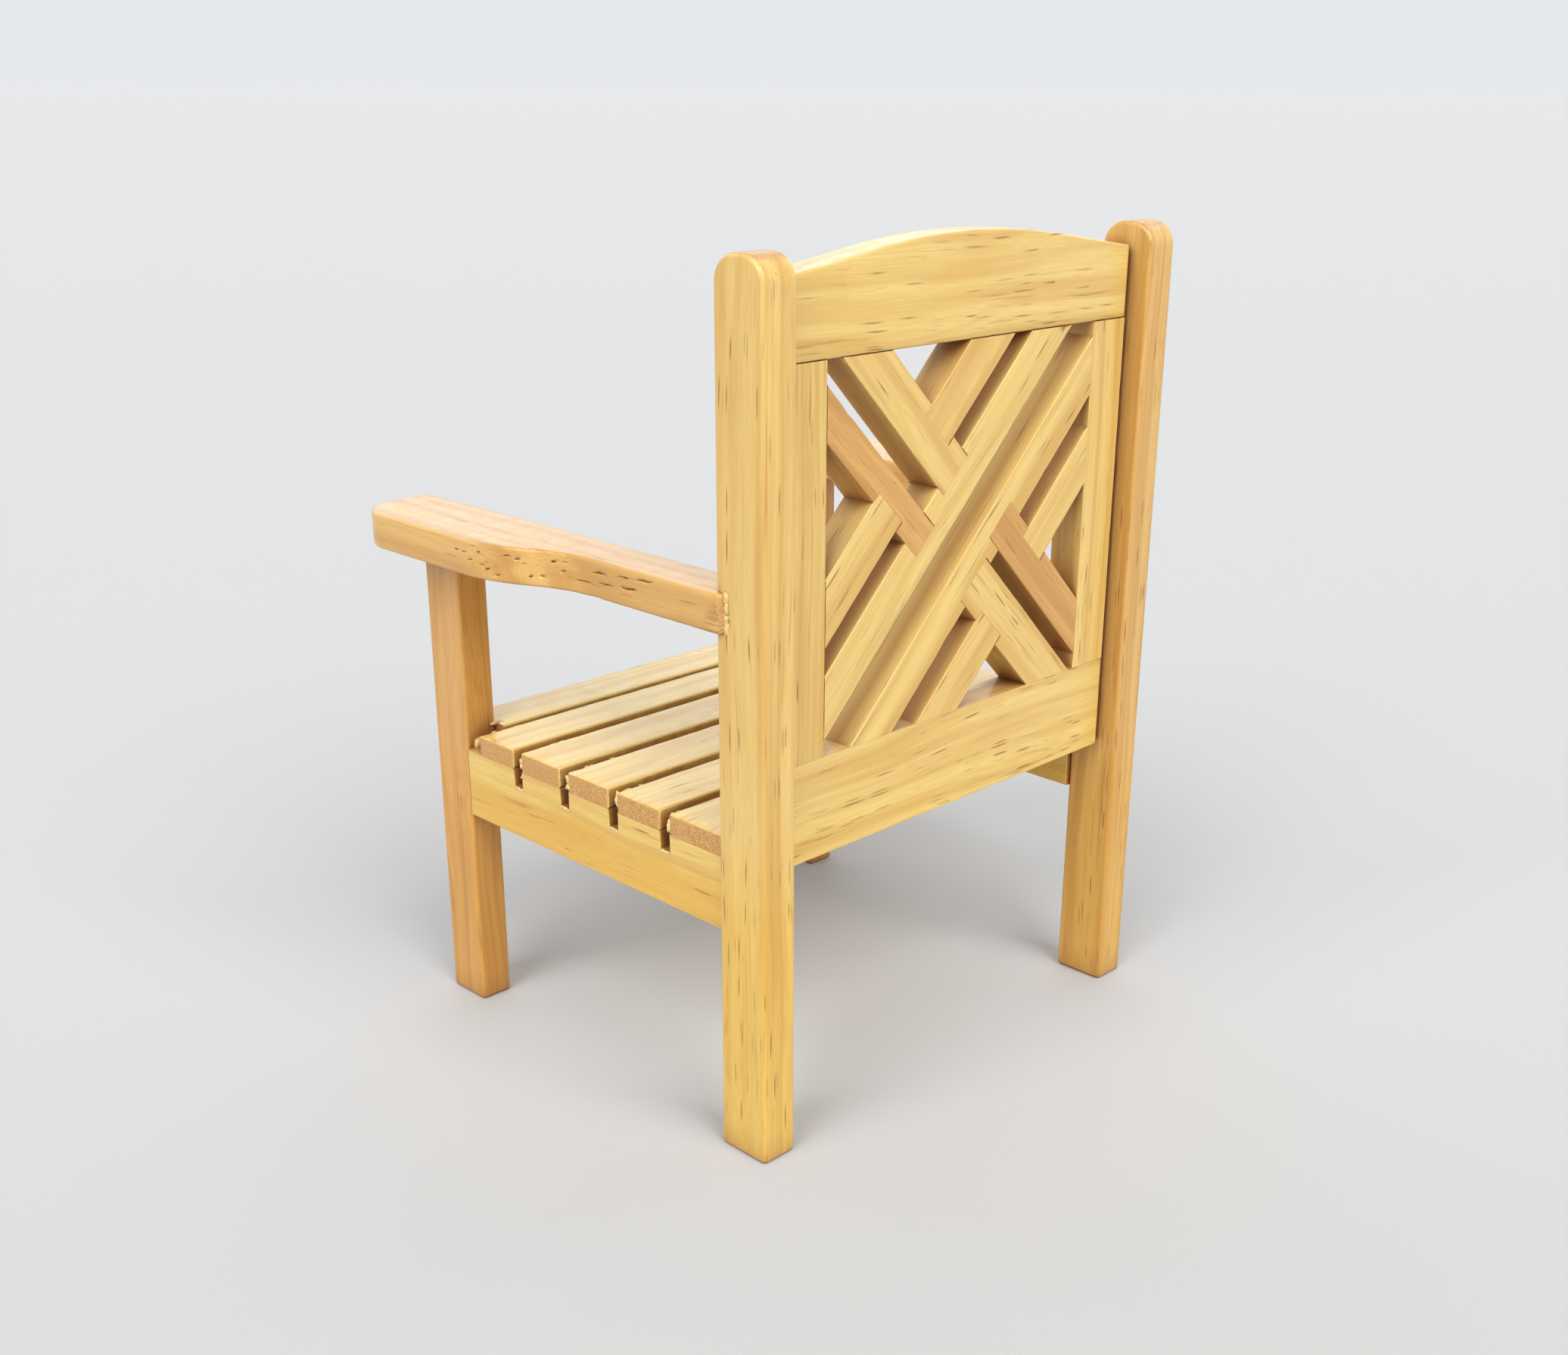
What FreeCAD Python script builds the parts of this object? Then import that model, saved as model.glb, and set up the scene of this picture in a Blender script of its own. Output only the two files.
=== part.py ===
import FreeCAD, Part
import os
import Sketcher

# Miniature garden armchair, 1:12 scale, millimetres.
# +Z is up and the feet stand on Z = 0. The sitter faces -Y and the sitter's left is +X.
# The origin is the middle of the footprint of the whole chair.

doc = FreeCAD.newDocument("garden_armchair")

# ---------------------------------------------------------------- driving dimensions

DIMENSIONS = {
    # rear posts
    "post_high": 90.2,
    "rear_half": 31.1,
    "rear_wide": 4.36,
    "rear_deep": 6.4,
    "rear_back": 30.075,
    "crown_round": 2.6,
    # front posts and side rails share one outer face
    "side_half": 30.4,
    "side_wide": 4.12,
    "front_deep": 6.02,
    "front_back": -19.365,
    "foot_round": 0.4,
    "edge_round": 0.45,
    # rails under the seat
    "rail_low": 24.28,
    "rail_top": 32.35,
    "apron_set": 0.95,
    # seat slats
    "slat_thick": 2.3,
    "slat_pitch": 8.22,
    "slat_front": -24.425,
    "kerf_wide": 1.35,
    "kerf_deep": 2.1,
    "kerf_first": 15.425,
    "gap_wide": 0.86,
    "gap_back": -16.945,
    # arms
    "arm_low": 55.7,
    "arm_thick": 4.0,
    "arm_inner": 25.95,
    "arm_narrow": 31.8,
    "arm_broad": 35.95,
    "arm_front": -30.075,
    "arm_bend": 2.615,
    "arm_slant": 8.32,
    "arm_sweep": 16.5,
    "arm_corner": 5.0,
    "arm_nick": 0.7,
    "arm_heel": 0.65,
    "arm_let": 1.3,
    # back panel
    "panel_set": 2.34,
    "shadow_wide": 0.6,
    "shadow_deep": 1.2,
    "stile_inner": 20.5,
    "crest_low": 80.22,
    "crest_end": 87.75,
    "crest_rise": 3.92,
    "crest_bow": 95.0,
    "base_low": 30.85,
    "base_top": 41.52,
    # lattice: the bars run at 45 degrees either way through the panel's middle
    "bar_let": 1.2,
    "deep_let": 2.4,
    "long_upper_mid": 4.28,
    "long_upper_wide": 4.76,
    "long_lower_mid": -4.1,
    "long_lower_wide": 4.5,
    "short_top_mid": 11.1,
    "short_top_wide": 5.0,
    "short_left_mid": 11.05,
    "short_left_wide": 4.9,
    "short_right_mid": -10.95,
    "short_right_wide": 4.5,
    "short_base_mid": -11.38,
    "short_base_wide": 4.84,
    "cross_top_mid": 3.09,
    "cross_top_wide": 5.04,
    "cross_left_mid": -4.33,
    "cross_left_wide": 3.86,
    "cross_right_mid": 4.33,
    "cross_right_wide": 4.65,
    "cross_base_mid": -2.5,
    "cross_base_wide": 5.54,
}

dims = doc.addObject("Spreadsheet::Sheet", "dims")
for row, (alias, value) in enumerate(DIMENSIONS.items(), start=1):
    dims.set(f"A{row}", alias)
    dims.set(f"B{row}", str(value))
    dims.setAlias(f"B{row}", alias)
doc.recompute()

# Sizes that follow from the driving dimensions, as expressions of the sheet.
REAR_FRONT = "(dims.rear_back - dims.rear_deep)"
REAR_INNER = "(dims.rear_half - dims.rear_wide)"
SIDE_INNER = "(dims.side_half - dims.side_wide)"
FRONT_FRONT = "(dims.front_back - dims.front_deep)"
SEAT_TOP = "(dims.rail_top + dims.slat_thick)"
ARM_TOP = "(dims.arm_low + dims.arm_thick)"
PANEL_BACK = "(dims.rear_back - dims.panel_set)"
PANEL_THICK = "(dims.rear_deep - dims.panel_set)"
PANEL_MIDDLE = "((dims.crest_low + dims.base_top) / 2)"

# How far the outline of a cut runs past the piece that it cuts.
OVERRUN = "1"

SIDES = {"left": 1, "right": -1}


def number(expression):
    """The present value of an expression of the sheet."""
    return float(dims.evalExpression(expression))


# ---------------------------------------------------------------- building helpers


def new_body(name):
    body = doc.addObject("PartDesign::Body", name)
    body.Label = name
    return body


def outline(body, name, plane, loops, depth="0", turn=0):
    """A sketch on one of the body's origin planes, lifted by depth along the plane's normal
    and turned in its plane. Each loop is a closed run of corners, (across, up) expressions."""
    sketch = body.newObject("Sketcher::SketchObject", f"{body.Name}_{name}")
    origin = [item for item in body.Origin.OriginFeatures if item.Role == plane]
    sketch.AttachmentSupport = (origin[0], [""])
    sketch.MapMode = "FlatFace"
    spin = FreeCAD.Rotation(FreeCAD.Vector(0, 0, 1), turn)
    sketch.AttachmentOffset = FreeCAD.Placement(FreeCAD.Vector(0, 0, number(depth)), spin)
    sketch.setExpression("AttachmentOffset.Base.z", depth)
    for loop in loops:
        corners = [FreeCAD.Vector(number(across), number(up), 0) for across, up in loop]
        first = sketch.GeometryCount
        count = len(corners)
        for index, corner in enumerate(corners):
            sketch.addGeometry(Part.LineSegment(corner, corners[(index + 1) % count]), False)
        for index, (across, up) in enumerate(loop):
            line = first + index
            following = first + (index + 1) % count
            sketch.addConstraint(Sketcher.Constraint("Coincident", line, 2, following, 1))
            bind(sketch, "DistanceX", line, f"across{line}", across)
            bind(sketch, "DistanceY", line, f"up{line}", up)
    return sketch


def bind(sketch, kind, line, label, expression):
    """Hold the start of a line at a distance from the sketch's origin, given by the sheet."""
    rule = Sketcher.Constraint(kind, -1, 1, line, 1, number(expression))
    place = sketch.addConstraint(rule)
    sketch.renameConstraint(place, label)
    sketch.setExpression(f"Constraints.{label}", expression)


def rectangle(across_a, across_b, up_a, up_b):
    return [(across_a, up_a), (across_b, up_a), (across_b, up_b), (across_a, up_b)]


def pad(body, sketch, length):
    feature = body.newObject("PartDesign::Pad", f"{sketch.Name}_pad")
    feature.Profile = sketch
    feature.setExpression("Length", length)
    doc.recompute()
    return feature


def pocket(body, sketch, length, backwards=False, symmetric=False):
    """Cut the sketch out of the body, and make sure that the cut took something away."""
    before = body.Tip.Shape.Volume
    feature = body.newObject("PartDesign::Pocket", f"{sketch.Name}_pocket")
    feature.Profile = sketch
    feature.Reversed = backwards
    feature.Midplane = symmetric
    feature.setExpression("Length", length)
    doc.recompute()
    if feature.Shape.Volume >= before:
        raise RuntimeError(f"{feature.Name} cuts nothing")
    return feature


def edges_where(shape, test):
    return [f"Edge{i}" for i, edge in enumerate(shape.Edges, start=1) if test(edge)]


def round_edges(body, name, radius, test):
    """Fillet every edge of the body that passes the test."""
    base = body.Tip
    chosen = edges_where(base.Shape, test)
    if not chosen:
        raise RuntimeError(f"{body.Name}: no edge for {name}")
    feature = body.newObject("PartDesign::Fillet", f"{body.Name}_{name}")
    feature.Base = (base, chosen)
    feature.setExpression("Radius", radius)
    doc.recompute()
    return feature


def block(name, x_pair, y_pair, z_pair):
    """A body with one rectangular pad between three pairs of expressions."""
    body = new_body(name)
    sketch = outline(body, "plan", "XY_Plane", [rectangle(*x_pair, *y_pair)], z_pair[0])
    pad(body, sketch, f"{z_pair[1]} - ({z_pair[0]})")
    return body


def mirrored(side, expression):
    return f"{SIDES[side]} * {expression}"


def side_pair(side, inner, outer):
    """The X range of a piece on one side of the chair, with the smaller value first."""
    pair = (mirrored(side, inner), mirrored(side, outer))
    return pair if SIDES[side] > 0 else pair[::-1]


def near(value, target):
    return abs(value - target) < 0.01


def lies_along(axis):
    """A test for straight edges parallel to an axis, 0 for X, 1 for Y and 2 for Z."""

    def test(edge):
        if edge.Curve.TypeId != "Part::GeomLine":
            return False
        return abs(abs(edge.tangentAt(edge.FirstParameter)[axis]) - 1) < 1e-6

    return test


def at_height(level):
    return lambda edge: near(edge.BoundBox.ZMin, level) and near(edge.BoundBox.ZMax, level)


# ---------------------------------------------------------------- posts


def rear_post(side):
    """A post over the full height: its head is rounded to front and back, its foot is eased,
    and a housing across its front face takes the end of the arm."""
    x_pair = side_pair(side, REAR_INNER, "dims.rear_half")
    body = block(f"rear_post_{side}", x_pair, (REAR_FRONT, "dims.rear_back"), ("0", "dims.post_high"))
    crown = at_height(number("dims.post_high"))
    along_x = lies_along(0)
    round_edges(body, "crown", "dims.crown_round", lambda e: crown(e) and along_x(e))
    round_edges(body, "edges", "dims.edge_round", lies_along(2))
    round_edges(body, "foot", "dims.foot_round", at_height(0.0))
    housing = rectangle(REAR_FRONT, f"{REAR_FRONT} + dims.arm_let", "dims.arm_low", ARM_TOP)
    sketch = outline(body, "housing", "YZ_Plane", [housing], mirrored(side, "dims.rear_half"))
    pocket(body, sketch, "2 * dims.rear_wide", symmetric=True)
    return body


def front_post(side):
    """A short post between the floor and the underside of the arm."""
    x_pair = side_pair(side, SIDE_INNER, "dims.side_half")
    body = block(f"front_post_{side}", x_pair, (FRONT_FRONT, "dims.front_back"), ("0", "dims.arm_low"))
    round_edges(body, "edges", "dims.edge_round", lies_along(2))
    round_edges(body, "foot", "dims.foot_round", at_height(0.0))
    return body


# ---------------------------------------------------------------- seat


def kerf_back(index):
    """Y of the rear wall of a saw slot between two slats, counted from the back."""
    return f"(dims.kerf_first - {index} * dims.slat_pitch)"


def kerf_front(index):
    return f"({kerf_back(index)} - dims.kerf_wide)"


KERFS = 4


def side_rail(side):
    """A rail between the posts, with the saw slots of the seat run on into its top edge."""
    x_pair = side_pair(side, SIDE_INNER, "dims.side_half")
    y_pair = ("dims.front_back", REAR_FRONT)
    body = block(f"side_rail_{side}", x_pair, y_pair, ("dims.rail_low", "dims.rail_top"))
    slot_low = "dims.rail_top - dims.kerf_deep"
    slot_high = "dims.rail_top + dims.kerf_deep"
    slots = [rectangle(kerf_front(i), kerf_back(i), slot_low, slot_high) for i in range(KERFS)]
    sketch = outline(body, "slots", "YZ_Plane", slots, mirrored(side, "dims.side_half"))
    pocket(body, sketch, "4 * dims.side_wide", symmetric=True)
    return body


def seat_slat(index):
    """One slat right across both rails. The first butts against the rear posts."""
    rear = REAR_FRONT if index == 0 else kerf_front(index - 1)
    front = "dims.gap_back" if index == KERFS else kerf_back(index)
    whole = ("-dims.side_half", "dims.side_half")
    return block(f"seat_slat_{index + 1}", whole, (front, rear), ("dims.rail_top", SEAT_TOP))


def front_slat():
    """The foremost slat, which lies between the front posts, behind a narrower gap."""
    y_pair = ("dims.slat_front", "dims.gap_back - dims.gap_wide")
    x_pair = (f"-{SIDE_INNER}", SIDE_INNER)
    return block(f"seat_slat_{KERFS + 2}", x_pair, y_pair, ("dims.rail_top", SEAT_TOP))


def front_apron():
    """A rail between the front posts, under the front edge of the seat."""
    y_pair = (f"{FRONT_FRONT} + dims.apron_set", "dims.front_back - dims.apron_set")
    x_pair = (f"-{SIDE_INNER}", SIDE_INNER)
    return block("front_apron", x_pair, y_pair, ("dims.rail_low", "dims.rail_top"))


# ---------------------------------------------------------------- arms


def arm(side):
    """A flat arm: straight on the inside, and swept out to a broad front on the outside."""
    body = new_body(f"arm_{side}")
    rear = f"{REAR_FRONT} + dims.arm_let"
    corners = [
        ("dims.arm_inner", rear),
        ("dims.arm_narrow", rear),
        ("dims.arm_narrow", "dims.arm_bend"),
        ("dims.arm_broad", "dims.arm_bend - dims.arm_slant"),
        ("dims.arm_broad", "dims.arm_front"),
        ("dims.arm_inner", "dims.arm_front"),
    ]
    corners = [(mirrored(side, across), up) for across, up in corners]
    sketch = outline(body, "plan", "XY_Plane", [corners], "dims.arm_low")
    pad(body, sketch, "dims.arm_thick")
    bends = (number("dims.arm_bend"), number("dims.arm_bend - dims.arm_slant"))
    upright = lies_along(2)

    def swept(edge):
        return upright(edge) and any(near(edge.BoundBox.YMin, bend) for bend in bends)

    def corner(across, along):
        reach = number(across)
        place = number(along)

        def test(edge):
            middle = edge.CenterOfMass
            return upright(edge) and near(middle.y, place) and near(abs(middle.x), reach)

        return test

    round_edges(body, "sweep", "dims.arm_sweep", swept)
    round_edges(body, "corner", "dims.arm_corner", corner("dims.arm_broad", "dims.arm_front"))
    round_edges(body, "nick", "dims.arm_nick", corner("dims.arm_inner", "dims.arm_front"))
    round_edges(body, "heel", "dims.arm_heel", corner("dims.arm_narrow", rear))
    return body


# ---------------------------------------------------------------- back panel


def panel_piece(name, loops):
    """A piece of the back panel, drawn as seen from the front and as thick as the panel."""
    body = new_body(name)
    sketch = outline(body, "face", "XZ_Plane", loops, f"-{PANEL_BACK}")
    pad(body, sketch, PANEL_THICK)
    return body


def shadow_gap(body, x_pair, z_pair):
    """Rabbet the outer rear edge, which leaves a narrow dark gap beside the post."""
    sketch = outline(body, "gap", "XZ_Plane", [rectangle(*x, *z_pair) for x in x_pair], f"-{PANEL_BACK}")
    pocket(body, sketch, "dims.shadow_deep", backwards=True)


def gap_pair(side):
    return side_pair(side, f"({REAR_INNER} - dims.shadow_wide)", f"({REAR_INNER} + dims.shadow_wide)")


def crest_rail():
    """The top rail, its upper edge a shallow arch."""
    peak = "dims.crest_end + dims.crest_rise"
    face = [
        (f"-{REAR_INNER}", "dims.crest_low"),
        (REAR_INNER, "dims.crest_low"),
        (REAR_INNER, "dims.crest_end"),
        ("0", peak),
        (f"-{REAR_INNER}", "dims.crest_end"),
    ]
    body = panel_piece("crest_rail", [face])
    apex = number(peak)
    round_edges(body, "bow", "dims.crest_bow", lambda e: near(e.BoundBox.ZMin, apex))
    z_pair = (f"dims.crest_low - {OVERRUN}", peak)
    shadow_gap(body, [gap_pair(side) for side in SIDES], z_pair)
    return body


def lower_back_rail():
    x_pair = (f"-{REAR_INNER}", REAR_INNER)
    body = panel_piece("lower_back_rail", [rectangle(*x_pair, "dims.base_low", "dims.base_top")])
    z_pair = (f"dims.base_low - {OVERRUN}", f"dims.base_top + {OVERRUN}")
    shadow_gap(body, [gap_pair(side) for side in SIDES], z_pair)
    return body


def back_stile(side):
    x_pair = side_pair(side, "dims.stile_inner", REAR_INNER)
    body = panel_piece(f"back_stile_{side}", [rectangle(*x_pair, "dims.base_top", "dims.crest_low")])
    z_pair = (f"dims.base_top - {OVERRUN}", f"dims.crest_low + {OVERRUN}")
    shadow_gap(body, [gap_pair(side)], z_pair)
    return body


# The lattice is drawn on axes turned by 45 degrees about the panel's middle. Seen from behind,
# rising bars climb to the right and falling bars drop to the right. A bar's place is the
# distance of its centre line from the middle: upwards to the left for a rising bar, and
# upwards to the right for a falling bar.


def bar_edge(bar, sign):
    return f"(dims.{bar}_mid {sign} dims.{bar}_wide / 2)"


REACH = "3 * dims.stile_inner"

RISING = {
    "short_top": ((f"{bar_edge('cross_top', '+')} - dims.bar_let", REACH), ()),
    "long_upper": ((f"-{REACH}", REACH), ("cross_top", "cross_left")),
    "short_left": ((f"-{REACH}", f"{bar_edge('cross_left', '-')} + dims.bar_let"), ()),
    "long_lower": ((f"-{REACH}", REACH), ("cross_right", "cross_base")),
    "short_right": ((f"{bar_edge('cross_right', '+')} - dims.bar_let", REACH), ()),
    "short_base": ((f"-{REACH}", f"{bar_edge('cross_base', '-')} + dims.bar_let"), ()),
}

FALLING = {
    "cross_top": ((f"{bar_edge('long_upper', '+')} - dims.bar_let", REACH), ("short_top",)),
    "cross_left": ((f"{bar_edge('long_upper', '+')} - dims.deep_let", REACH), ("short_left",)),
    "cross_right": ((f"-{REACH}", f"{bar_edge('long_lower', '-')} + dims.deep_let"), ("short_right",)),
    "cross_base": ((f"-{REACH}", f"{bar_edge('long_lower', '-')} + dims.bar_let"), ("short_base",)),
}


def bar_rectangle(bar):
    """The bar's uncut blank on the turned axes: across is minus the climb of the rising bars,
    and up is the climb of the falling ones."""
    span = (RISING.get(bar) or FALLING.get(bar))[0]
    width = (bar_edge(bar, "-"), bar_edge(bar, "+"))
    climb, place = (span, width) if bar in RISING else (width, span)
    return rectangle(f"-({climb[1]})", f"-({climb[0]})", *place)


def on_lattice(sketch):
    """Move a sketch's turned axes to the middle of the opening."""
    sketch.AttachmentOffset.Base = FreeCAD.Vector(0, number(PANEL_MIDDLE), number(f"-{PANEL_BACK}"))
    sketch.setExpression("AttachmentOffset.Base.y", PANEL_MIDDLE)
    return sketch


def lattice_bar(bar):
    """A bar at 45 degrees, trimmed to the frame, with housings for the bars that end in it."""
    body = new_body(f"lattice_{bar}_bar")
    depth = f"-{PANEL_BACK}"
    blank = on_lattice(outline(body, "blank", "XZ_Plane", [bar_rectangle(bar)], depth, turn=-45))
    pad(body, blank, PANEL_THICK)
    opening = rectangle("-dims.stile_inner", "dims.stile_inner", "dims.base_top", "dims.crest_low")
    far = rectangle(f"-{REACH}", REACH, f"{PANEL_MIDDLE} - {REACH}", f"{PANEL_MIDDLE} + {REACH}")
    trim = outline(body, "trim", "XZ_Plane", [far, opening], depth)
    pocket(body, trim, PANEL_THICK, backwards=True)
    guests = (RISING.get(bar) or FALLING.get(bar))[1]
    if guests:
        loops = [bar_rectangle(guest) for guest in guests]
        housings = on_lattice(outline(body, "housings", "XZ_Plane", loops, depth, turn=-45))
        pocket(body, housings, PANEL_THICK, backwards=True)
    return body


# ---------------------------------------------------------------- assembly

pieces = []
for side in SIDES:
    pieces.append(rear_post(side))
    pieces.append(front_post(side))
    pieces.append(side_rail(side))
    pieces.append(arm(side))
    pieces.append(back_stile(side))
pieces.extend(seat_slat(index) for index in range(KERFS + 1))
pieces.append(front_slat())
pieces.append(front_apron())
pieces.append(crest_rail())
pieces.append(lower_back_rail())
pieces.extend(lattice_bar(bar) for bar in (*RISING, *FALLING))

doc.recompute()

for item in doc.Objects:
    if "Invalid" in item.State or "Error" in item.State:
        raise RuntimeError(f"{item.Name} failed: {item.State}")

os.makedirs("parts", exist_ok=True)
for piece in pieces:
    shape = piece.Shape
    if shape.isNull() or not shape.isValid() or len(shape.Solids) != 1:
        raise RuntimeError(f"{piece.Label} is not one valid solid")
    shape.exportStep(f"parts/{piece.Label}.step")
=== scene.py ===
import math
import random

import bmesh
import bpy
from mathutils import Matrix, Vector, kdtree, noise
from mathutils.bvhtree import BVHTree


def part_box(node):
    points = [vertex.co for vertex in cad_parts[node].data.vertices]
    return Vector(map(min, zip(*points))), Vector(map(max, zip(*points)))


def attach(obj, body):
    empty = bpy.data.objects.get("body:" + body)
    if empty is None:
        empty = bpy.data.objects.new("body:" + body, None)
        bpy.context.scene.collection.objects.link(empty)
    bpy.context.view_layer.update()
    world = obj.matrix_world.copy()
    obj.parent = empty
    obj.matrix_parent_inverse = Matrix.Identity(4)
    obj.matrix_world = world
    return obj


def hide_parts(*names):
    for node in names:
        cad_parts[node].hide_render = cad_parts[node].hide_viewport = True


# A miniature slatted garden armchair of varnished hardwood. The frame is in metres, +Z is up
# and the sitter faces -Y. Details of the chair are measured in millimetres, and MM turns them
# into metres. The floor and the camera are measured in metres.

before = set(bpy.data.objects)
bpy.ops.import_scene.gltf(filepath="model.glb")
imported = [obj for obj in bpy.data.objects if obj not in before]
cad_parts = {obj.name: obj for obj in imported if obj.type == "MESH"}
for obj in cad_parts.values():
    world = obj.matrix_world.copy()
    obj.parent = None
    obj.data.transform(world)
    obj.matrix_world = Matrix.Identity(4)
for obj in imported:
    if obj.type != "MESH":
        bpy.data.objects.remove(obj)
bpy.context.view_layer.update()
MM = 0.001

# ---------------------------------------------------------------- what each piece is

UP = Vector((0, 0, 1))
ACROSS = Vector((1, 0, 0))
ALONG = Vector((0, 1, 0))
RISING = Vector((-1, 0, 1)).normalized()
FALLING = Vector((1, 0, 1)).normalized()

# For each family of pieces: the way its grain runs, how far its edges are eased and how uneven
# they are, both in millimetres, how pink its wood is, and how many pores show. Straw is 0 and
# rose is 1, and a value past either end is paler or redder still.
FAMILIES = {
    "rear_post": dict(grain=UP, ease=0.34, wear=0.06, rose=0.3, pores=0.2),
    "front_post": dict(grain=UP, ease=0.16, wear=0.05, rose=1.1, pores=0.03),
    "side_rail": dict(grain=ALONG, ease=0.16, wear=0.08, rose=0.05, pores=0.05),
    "arm": dict(grain=ALONG, ease=0.6, wear=0.06, rose=0.8, pores=0.05),
    # The seat slats are paler than straw: partly their wood, partly a painted highlight for the light
    # on the seat's top.
    "seat_slat": dict(grain=ACROSS, ease=0.26, wear=0.09, rose=-0.3, pores=0.04),
    "front_apron": dict(grain=ACROSS, ease=0.14, wear=0.05, rose=0.3, pores=0.08),
    "crest_rail": dict(grain=ACROSS, ease=0.24, wear=0.06, rose=0.1, pores=0.17),
    "lower_back_rail": dict(grain=ACROSS, ease=0.14, wear=0.05, rose=0.05, pores=0.25),
    "back_stile": dict(grain=UP, ease=0.1, wear=0.04, rose=0.15, pores=0.07),
    "lattice_short": dict(grain=RISING, ease=0.15, wear=0.07, rose=0.2, pores=0.1),
    "lattice_long": dict(grain=RISING, ease=0.15, wear=0.07, rose=0.12, pores=0.07),
    "lattice_cross": dict(grain=FALLING, ease=0.15, wear=0.06, rose=0.25, pores=0.09),
}
# Pieces that are pinker than the rest of their family.
ROSE = {"rear_post_right": 0.7, "lattice_cross_left_bar": 0.95, "lattice_cross_right_bar": 0.9}


def family(node):
    return next(name for name in FAMILIES if node.startswith(name))


# ---------------------------------------------------------------- timber shapes

WELD = 0.001 * MM
FLAT = math.radians(1)
SHARP = math.radians(30)
CREASE = math.radians(50)
TOUCHING = 0.03 * MM
# An edge inside a joint is eased by this share of what an open edge is.
JOINT_EASE = 0.05
EDGE_STEP = 0.5 * MM
SLICE = 1.0 * MM
FINE_SLICE = 0.5 * MM
FINE_LEVEL = 0.4 * MM
SHOULDER = 0.62 * MM
# How far the flat faces sink at most, in millimetres, how high the noise has to be for a chip,
# and how fast a chip gets deeper above that.
SINK = 0.012
CHIP_RARITY = 0.42
CHIP_DEPTH = 4.0


def whole_faces(node):
    """The CAD node as a bmesh whose flat faces are whole again."""
    shape = bmesh.new()
    shape.from_mesh(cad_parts[node].data)
    bmesh.ops.remove_doubles(shape, verts=shape.verts, dist=WELD)
    bmesh.ops.dissolve_limit(shape, angle_limit=FLAT, verts=shape.verts, edges=shape.edges)
    return shape


def surface(meshes):
    """A search tree of the surface of several meshes together."""
    corners, faces = [], []
    for mesh in meshes:
        start = len(corners)
        corners.extend(vertex.co.copy() for vertex in mesh.vertices)
        faces.extend([start + index for index in face.vertices] for face in mesh.polygons)
    return BVHTree.FromPolygons(corners, faces)


def ease_edges(shape, node, neighbours, ease):
    """Round the sharp edges, and those inside a joint much less. Gives back points along the
    sharp edges as (point, share of the full easing)."""
    marks = []
    weight = shape.edges.layers.float.new("bevel_weight_edge")
    for edge in shape.edges:
        if len(edge.link_faces) != 2 or edge.calc_face_angle() < SHARP:
            continue
        first, second = (vertex.co for vertex in edge.verts)
        count = max(2, math.ceil((second - first).length / EDGE_STEP))
        points = [first.lerp(second, step / count) for step in range(count + 1)]
        inside_joint = neighbours.find_nearest(first.lerp(second, 0.5), TOUCHING)[0] is not None
        share = JOINT_EASE if inside_joint else 1.0
        edge[weight] = share
        marks.extend((point, share) for point in points)
    mesh = bpy.data.meshes.new(f"{node}_whole")
    shape.to_mesh(mesh)
    shape.free()
    carrier = bpy.data.objects.new(f"{node}_whole", mesh)
    bpy.context.scene.collection.objects.link(carrier)
    bevel = carrier.modifiers.new("ease", "BEVEL")
    bevel.limit_method = "WEIGHT"
    bevel.width = ease
    bevel.segments = 3
    bevel.use_clamp_overlap = True
    eased = carrier.evaluated_get(bpy.context.evaluated_depsgraph_get())
    rounded = bmesh.new()
    rounded.from_mesh(eased.to_mesh())
    bpy.data.objects.remove(carrier)
    return rounded, marks


def cut_across(shape, point, normal):
    everything = [*shape.verts, *shape.edges, *shape.faces]
    bmesh.ops.bisect_plane(shape, geom=everything, dist=WELD, plane_co=point, plane_no=normal)


def extent(shape, axis):
    reach = [vertex.co.dot(axis) for vertex in shape.verts]
    return min(reach), max(reach)


def side_axes(grain):
    """The two directions square to the grain that the sides of a piece face."""
    depth = ALONG if abs(grain.y) < 0.5 else UP
    return depth, depth.cross(grain).normalized()


def slice_up(shape, grain, fine):
    """Cut the faces across the grain, and once along each side, so that they can be uneven.
    Where slits follow, the cuts are closer, and there are more of them up the height."""
    low, high = extent(shape, grain)
    count = max(2, round((high - low) / (FINE_SLICE if fine else SLICE)))
    for index in range(1, count):
        cut_across(shape, grain * (low + (high - low) * index / count), grain)
    for axis in side_axes(grain):
        low, high = extent(shape, axis)
        levels = [low + SHOULDER, high - SHOULDER]
        if fine and axis == UP:
            steps = round((high - low) / FINE_LEVEL)
            levels = [low + (high - low) * step / steps for step in range(1, steps)]
        for level in levels:
            cut_across(shape, axis * level, axis)


def wear_down(shape, marks, wear, seed):
    """Take a little off the faces everywhere, and more, unevenly, off the exposed edges."""
    near_edge = kdtree.KDTree(len(marks))
    for index, (point, share) in enumerate(marks):
        near_edge.insert(point, index)
    near_edge.balance()
    low, high = (Vector(map(f, zip(*(vertex.co for vertex in shape.verts)))) for f in (min, max))
    shape.normal_update()
    moves = []
    for vertex in shape.verts:
        place = vertex.co / MM + seed
        broad = 0.5 + 0.5 * noise.noise(place * 0.09)
        fine = 0.5 + 0.5 * noise.noise(place * 0.55)
        chip = max(0.0, noise.noise(place * 0.8 + seed) - CHIP_RARITY) * CHIP_DEPTH
        _, index, distance = near_edge.find(vertex.co)
        closeness = max(0.0, 1.0 - distance / SHOULDER) * marks[index][1]
        depth = SINK * broad + closeness * wear * (fine + chip)
        moves.append((vertex, vertex.co - vertex.normal * depth * MM))
    for vertex, place in moves:
        vertex.co = [max(a, min(b, c)) for a, b, c in zip(low, high, place)]


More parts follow.
